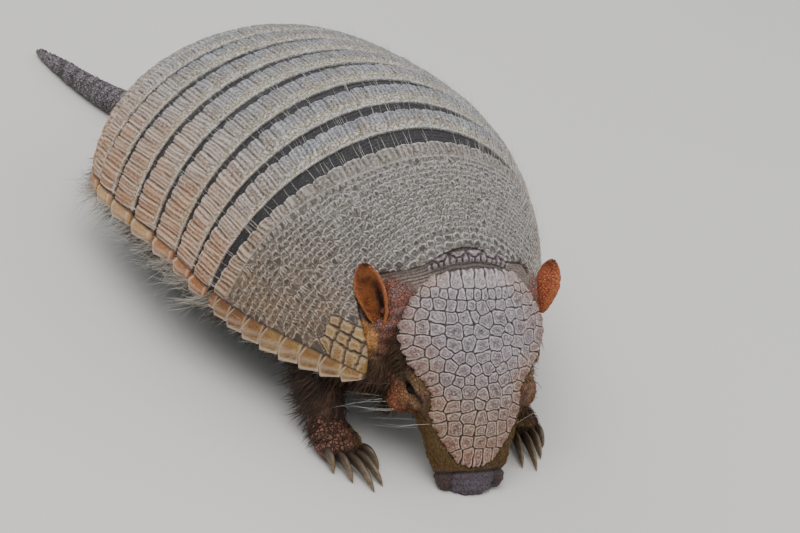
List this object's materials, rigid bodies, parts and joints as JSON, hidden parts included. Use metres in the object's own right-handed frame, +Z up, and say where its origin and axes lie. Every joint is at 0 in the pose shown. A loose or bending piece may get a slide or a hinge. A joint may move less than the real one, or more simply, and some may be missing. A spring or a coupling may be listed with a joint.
{
  "type": "larger hairy armadillo (Chaetophractus villosus), adult, life size, still model",
  "caption": "Life-size still model of a larger hairy armadillo standing on all fours with its head down and its nose to the ground.",
  "frame": {"origin": "bottom centre of the model's box, on the ground that the feet, nose and tail rest on", "axes": "+Z up; -Y towards the nose, so +Y runs along the body to the tail; +X is the animal's left side"},
  "size_m": [0.1904, 0.4094, 0.1231],
  "materials": {
    "shell": "bony plates under thin horn, satin, with fine grooves",
    "skin": "bare wrinkled skin, dull",
    "fur": "coarse dark hair with pale tips",
    "claw": "horn, satin, worn pale at the tips",
    "ear": "thin bare skin, slightly see-through",
    "eye": "wet and near black"
  },
  "bodies": {
    "root": {"trunk": "fur", "neck": "skin", "head": "skin", "head_shield": "shell", "nuchal_band": "shell", "scapular_shield": "shell", "band_1": "shell", "band_2": "shell", "band_3": "shell", "band_4": "shell", "band_5": "shell", "band_6": "shell", "band_7": "shell", "pelvic_shield": "shell", "tail_base": "skin", "tail_middle": "skin", "tail_tip": "skin", "eye_right": "eye", "ear_right": "ear", "leg_fore_right": "fur", "foot_fore_right": "skin", "claw_fore_right_1": "claw", "claw_fore_right_2": "claw", "claw_fore_right_3": "claw", "claw_fore_right_4": "claw", "claw_fore_right_5": "claw", "leg_hind_right": "fur", "foot_hind_right": "skin", "claw_hind_right_1": "claw", "claw_hind_right_2": "claw", "claw_hind_right_3": "claw", "claw_hind_right_4": "claw", "claw_hind_right_5": "claw", "eye_left": "eye", "ear_left": "ear", "leg_fore_left": "fur", "foot_fore_left": "skin", "claw_fore_left_1": "claw", "claw_fore_left_2": "claw", "claw_fore_left_3": "claw", "claw_fore_left_4": "claw", "claw_fore_left_5": "claw", "leg_hind_left": "fur", "foot_hind_left": "skin", "claw_hind_left_1": "claw", "claw_hind_left_2": "claw", "claw_hind_left_3": "claw", "claw_hind_left_4": "claw", "claw_hind_left_5": "claw"}
  },
  "joints": []
}
